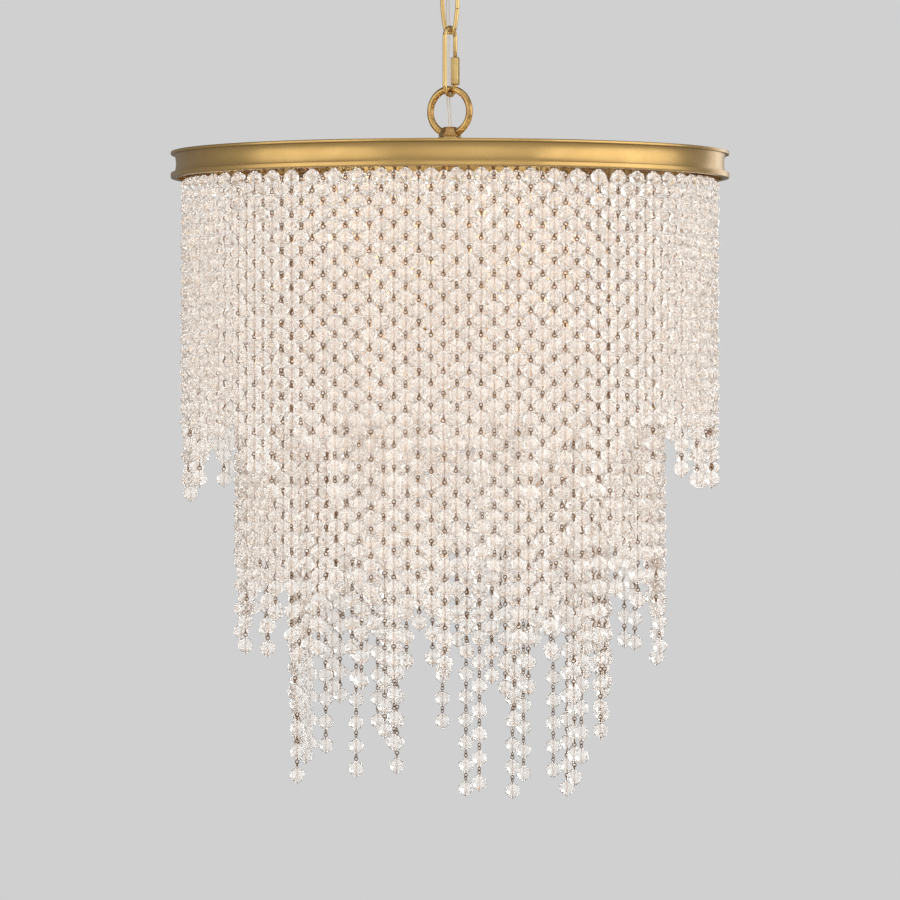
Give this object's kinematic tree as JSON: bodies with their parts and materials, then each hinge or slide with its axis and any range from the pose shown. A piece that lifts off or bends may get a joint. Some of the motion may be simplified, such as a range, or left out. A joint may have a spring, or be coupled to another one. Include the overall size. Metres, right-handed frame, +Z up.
{
  "type": "crystal bead chandelier",
  "caption": "Hanging drum chandelier: a coved brass band carries three stepped curtains of round glass bead strands round a candle cluster, on a short chain.",
  "frame": {"origin": "centre of the canopy's rim, on the ceiling plane", "axes": "+Z up into the ceiling; the object hangs below; the pictured front faces -Y"},
  "size_m": [0.5088, 0.5088, 0.8662],
  "materials": {
    "satin_brass": "satin, aged and lacquered",
    "zinc_steel": "zinc plated",
    "bead_glass": "clear, cut and polished",
    "bulb_glass": "clear bulb glass",
    "lamp_holder_white": "moulded",
    "clear_cord": "clear PVC"
  },
  "bodies": {
    "ceiling_fitting": {"crossbar": "zinc_steel", "threaded_pipe": "zinc_steel", "lock_nut": "zinc_steel", "canopy_loop": "satin_brass", "supply_cord": "clear_cord"},
    "canopy_cover": {"canopy": "satin_brass", "canopy_ring_nut": "satin_brass"},
    "upper_link": {"upper_chain_link": "satin_brass"},
    "lower_link": {"lower_chain_link": "satin_brass"},
    "quick_link_body": {"quick_link": "satin_brass"},
    "quick_link_screw_sleeve": {"quick_link_sleeve": "satin_brass"},
    "chandelier_frame": {"hanging_loop": "satin_brass", "centre_rod": "zinc_steel", "rod_nuts": "satin_brass", "top_spider": "satin_brass", "drum_band": "satin_brass", "outer_bead_ring": "satin_brass", "middle_bead_ring": "satin_brass", "inner_bead_ring": "satin_brass", "column_tube": "satin_brass", "light_hub": "satin_brass", "hub_cover": "satin_brass", "bottom_finial": "satin_brass", "lamp_arms": "satin_brass", "socket_cups": "satin_brass", "sockets": "lamp_holder_white"},
    "lamp_bulb_1": {"bulb_1": "bulb_glass"},
    "lamp_bulb_2": {"bulb_2": "bulb_glass"},
    "lamp_bulb_3": {"bulb_3": "bulb_glass"},
    "lamp_bulb_4": {"bulb_4": "bulb_glass"},
    "lamp_bulb_5": {"bulb_5": "bulb_glass"},
    "lamp_bulb_6": {"bulb_6": "bulb_glass"},
    "outer_curtain_1": {"outer_strands_1": "bead_glass"},
    "outer_curtain_2": {"outer_strands_2": "bead_glass"},
    "outer_curtain_3": {"outer_strands_3": "bead_glass"},
    "outer_curtain_4": {"outer_strands_4": "bead_glass"},
    "outer_curtain_5": {"outer_strands_5": "bead_glass"},
    "outer_curtain_6": {"outer_strands_6": "bead_glass"},
    "outer_curtain_7": {"outer_strands_7": "bead_glass"},
    "outer_curtain_8": {"outer_strands_8": "bead_glass"},
    "middle_curtain_1": {"middle_strands_1": "bead_glass"},
    "middle_curtain_2": {"middle_strands_2": "bead_glass"},
    "middle_curtain_3": {"middle_strands_3": "bead_glass"},
    "middle_curtain_4": {"middle_strands_4": "bead_glass"},
    "middle_curtain_5": {"middle_strands_5": "bead_glass"},
    "middle_curtain_6": {"middle_strands_6": "bead_glass"},
    "middle_curtain_7": {"middle_strands_7": "bead_glass"},
    "middle_curtain_8": {"middle_strands_8": "bead_glass"},
    "inner_curtain_1": {"inner_strands_1": "bead_glass"},
    "inner_curtain_2": {"inner_strands_2": "bead_glass"},
    "inner_curtain_3": {"inner_strands_3": "bead_glass"},
    "inner_curtain_4": {"inner_strands_4": "bead_glass"},
    "inner_curtain_5": {"inner_strands_5": "bead_glass"},
    "inner_curtain_6": {"inner_strands_6": "bead_glass"},
    "inner_curtain_7": {"inner_strands_7": "bead_glass"},
    "inner_curtain_8": {"inner_strands_8": "bead_glass"}
  },
  "joints": [
    {"name": "canopy_lower", "type": "slide", "parent": "ceiling_fitting", "child": "canopy_cover", "axis": [0, 0, -1], "range_m": [0, 0.014]},
    {"name": "upper_link_swing", "type": "hinge", "parent": "ceiling_fitting", "child": "upper_link", "pos_m": [0, 0, -0.0538], "axis": [0.866, -0.5, 0], "range_deg": [-25, 25], "deforming": ["supply_cord"]},
    {"name": "lower_link_swing", "type": "hinge", "parent": "upper_link", "child": "lower_link", "pos_m": [0, 0, -0.11055], "axis": [0.5, 0.866, 0], "range_deg": [-25, 25], "deforming": ["supply_cord"]},
    {"name": "quick_link_swing", "type": "hinge", "parent": "lower_link", "child": "quick_link_body", "pos_m": [0, 0, -0.16755], "axis": [0.866, -0.5, 0], "range_deg": [-25, 25], "deforming": ["supply_cord"]},
    {"name": "sleeve_unscrew", "type": "slide", "parent": "quick_link_body", "child": "quick_link_screw_sleeve", "axis": [0, 0, 1], "range_m": [0, 0.012]},
    {"name": "chandelier_swing", "type": "hinge", "parent": "quick_link_body", "child": "chandelier_frame", "pos_m": [0, 0, -0.22465], "axis": [0.5, 0.866, 0], "range_deg": [-20, 20], "deforming": ["supply_cord"]},
    {"name": "bulb_1_out", "type": "slide", "parent": "chandelier_frame", "child": "lamp_bulb_1", "axis": [0, 0, 1], "range_m": [0, 0.024]},
    {"name": "bulb_2_out", "type": "slide", "parent": "chandelier_frame", "child": "lamp_bulb_2", "axis": [0, 0, 1], "range_m": [0, 0.024]},
    {"name": "bulb_3_out", "type": "slide", "parent": "chandelier_frame", "child": "lamp_bulb_3", "axis": [0, 0, 1], "range_m": [0, 0.024]},
    {"name": "bulb_4_out", "type": "slide", "parent": "chandelier_frame", "child": "lamp_bulb_4", "axis": [0, 0, 1], "range_m": [0, 0.024]},
    {"name": "bulb_5_out", "type": "slide", "parent": "chandelier_frame", "child": "lamp_bulb_5", "axis": [0, 0, 1], "range_m": [0, 0.024]},
    {"name": "bulb_6_out", "type": "slide", "parent": "chandelier_frame", "child": "lamp_bulb_6", "axis": [0, 0, 1], "range_m": [0, 0.024]},
    {"name": "outer_curtain_1_swing", "type": "hinge", "parent": "chandelier_frame", "child": "outer_curtain_1", "pos_m": [0.21455, 0.08887, -0.29205], "axis": [0.3827, -0.9239, 0], "range_deg": [0, 6]},
    {"name": "outer_curtain_2_swing", "type": "hinge", "parent": "chandelier_frame", "child": "outer_curtain_2", "pos_m": [0.08899, 0.21484, -0.29205], "axis": [0.9239, -0.3827, 0], "range_deg": [0, 6]},
    {"name": "outer_curtain_3_swing", "type": "hinge", "parent": "chandelier_frame", "child": "outer_curtain_3", "pos_m": [-0.08894, 0.21472, -0.29205], "axis": [0.9239, 0.3827, 0], "range_deg": [0, 6]},
    {"name": "outer_curtain_4_swing", "type": "hinge", "parent": "chandelier_frame", "child": "outer_curtain_4", "pos_m": [-0.21466, 0.08891, -0.29205], "axis": [0.3827, 0.9239, 0], "range_deg": [0, 6]},
    {"name": "outer_curtain_5_swing", "type": "hinge", "parent": "chandelier_frame", "child": "outer_curtain_5", "pos_m": [-0.21478, -0.08896, -0.29205], "axis": [-0.3827, 0.9239, 0], "range_deg": [0, 6]},
    {"name": "outer_curtain_6_swing", "type": "hinge", "parent": "chandelier_frame", "child": "outer_curtain_6", "pos_m": [-0.08892, -0.21466, -0.29205], "axis": [-0.9239, 0.3827, 0], "range_deg": [0, 6]},
    {"name": "outer_curtain_7_swing", "type": "hinge", "parent": "chandelier_frame", "child": "outer_curtain_7", "pos_m": [0.089, -0.21486, -0.29205], "axis": [-0.9239, -0.3827, 0], "range_deg": [0, 6]},
    {"name": "outer_curtain_8_swing", "type": "hinge", "parent": "chandelier_frame", "child": "outer_curtain_8", "pos_m": [0.21469, -0.08893, -0.29205], "axis": [-0.3827, -0.9239, 0], "range_deg": [0, 6]},
    {"name": "middle_curtain_1_swing", "type": "hinge", "parent": "chandelier_frame", "child": "middle_curtain_1", "pos_m": [0.17026, 0.07053, -0.29205], "axis": [0.3827, -0.9239, 0], "range_deg": [0, 5]},
    {"name": "middle_curtain_2_swing", "type": "hinge", "parent": "chandelier_frame", "child": "middle_curtain_2", "pos_m": [0.07076, 0.17084, -0.29205], "axis": [0.9239, -0.3827, 0], "range_deg": [0, 5]},
    {"name": "middle_curtain_3_swing", "type": "hinge", "parent": "chandelier_frame", "child": "middle_curtain_3", "pos_m": [-0.07048, 0.17016, -0.29205], "axis": [0.9239, 0.3827, 0], "range_deg": [0, 5]},
    {"name": "middle_curtain_4_swing", "type": "hinge", "parent": "chandelier_frame", "child": "middle_curtain_4", "pos_m": [-0.17092, 0.0708, -0.29205], "axis": [0.3827, 0.9239, 0], "range_deg": [0, 5]},
    {"name": "middle_curtain_5_swing", "type": "hinge", "parent": "chandelier_frame", "child": "middle_curtain_5", "pos_m": [-0.17017, -0.07049, -0.29205], "axis": [-0.3827, 0.9239, 0], "range_deg": [0, 5]},
    {"name": "middle_curtain_6_swing", "type": "hinge", "parent": "chandelier_frame", "child": "middle_curtain_6", "pos_m": [-0.0707, -0.17068, -0.29205], "axis": [-0.9239, 0.3827, 0], "range_deg": [0, 5]},
    {"name": "middle_curtain_7_swing", "type": "hinge", "parent": "chandelier_frame", "child": "middle_curtain_7", "pos_m": [0.07053, -0.17028, -0.29205], "axis": [-0.9239, -0.3827, 0], "range_deg": [0, 5]},
    {"name": "middle_curtain_8_swing", "type": "hinge", "parent": "chandelier_frame", "child": "middle_curtain_8", "pos_m": [0.17072, -0.07071, -0.29205], "axis": [-0.3827, -0.9239, 0], "range_deg": [0, 5]},
    {"name": "inner_curtain_1_swing", "type": "hinge", "parent": "chandelier_frame", "child": "inner_curtain_1", "pos_m": [0.12602, 0.0522, -0.29205], "axis": [0.3827, -0.9239, 0], "range_deg": [0, 4]},
    {"name": "inner_curtain_2_swing", "type": "hinge", "parent": "chandelier_frame", "child": "inner_curtain_2", "pos_m": [0.05222, 0.12606, -0.29205], "axis": [0.9239, -0.3827, 0], "range_deg": [0, 4]},
    {"name": "inner_curtain_3_swing", "type": "hinge", "parent": "chandelier_frame", "child": "inner_curtain_3", "pos_m": [-0.05225, 0.12615, -0.29205], "axis": [0.9239, 0.3827, 0], "range_deg": [0, 4]},
    {"name": "inner_curtain_4_swing", "type": "hinge", "parent": "chandelier_frame", "child": "inner_curtain_4", "pos_m": [-0.12623, 0.05229, -0.29205], "axis": [0.3827, 0.9239, 0], "range_deg": [0, 4]},
    {"name": "inner_curtain_5_swing", "type": "hinge", "parent": "chandelier_frame", "child": "inner_curtain_5", "pos_m": [-0.12595, -0.05217, -0.29205], "axis": [-0.3827, 0.9239, 0], "range_deg": [0, 4]},
    {"name": "inner_curtain_6_swing", "type": "hinge", "parent": "chandelier_frame", "child": "inner_curtain_6", "pos_m": [-0.05228, -0.12622, -0.29205], "axis": [-0.9239, 0.3827, 0], "range_deg": [0, 4]},
    {"name": "inner_curtain_7_swing", "type": "hinge", "parent": "chandelier_frame", "child": "inner_curtain_7", "pos_m": [0.05232, -0.12631, -0.29205], "axis": [-0.9239, -0.3827, 0], "range_deg": [0, 4]},
    {"name": "inner_curtain_8_swing", "type": "hinge", "parent": "chandelier_frame", "child": "inner_curtain_8", "pos_m": [0.12607, -0.05222, -0.29205], "axis": [-0.3827, -0.9239, 0], "range_deg": [0, 4]}
  ]
}
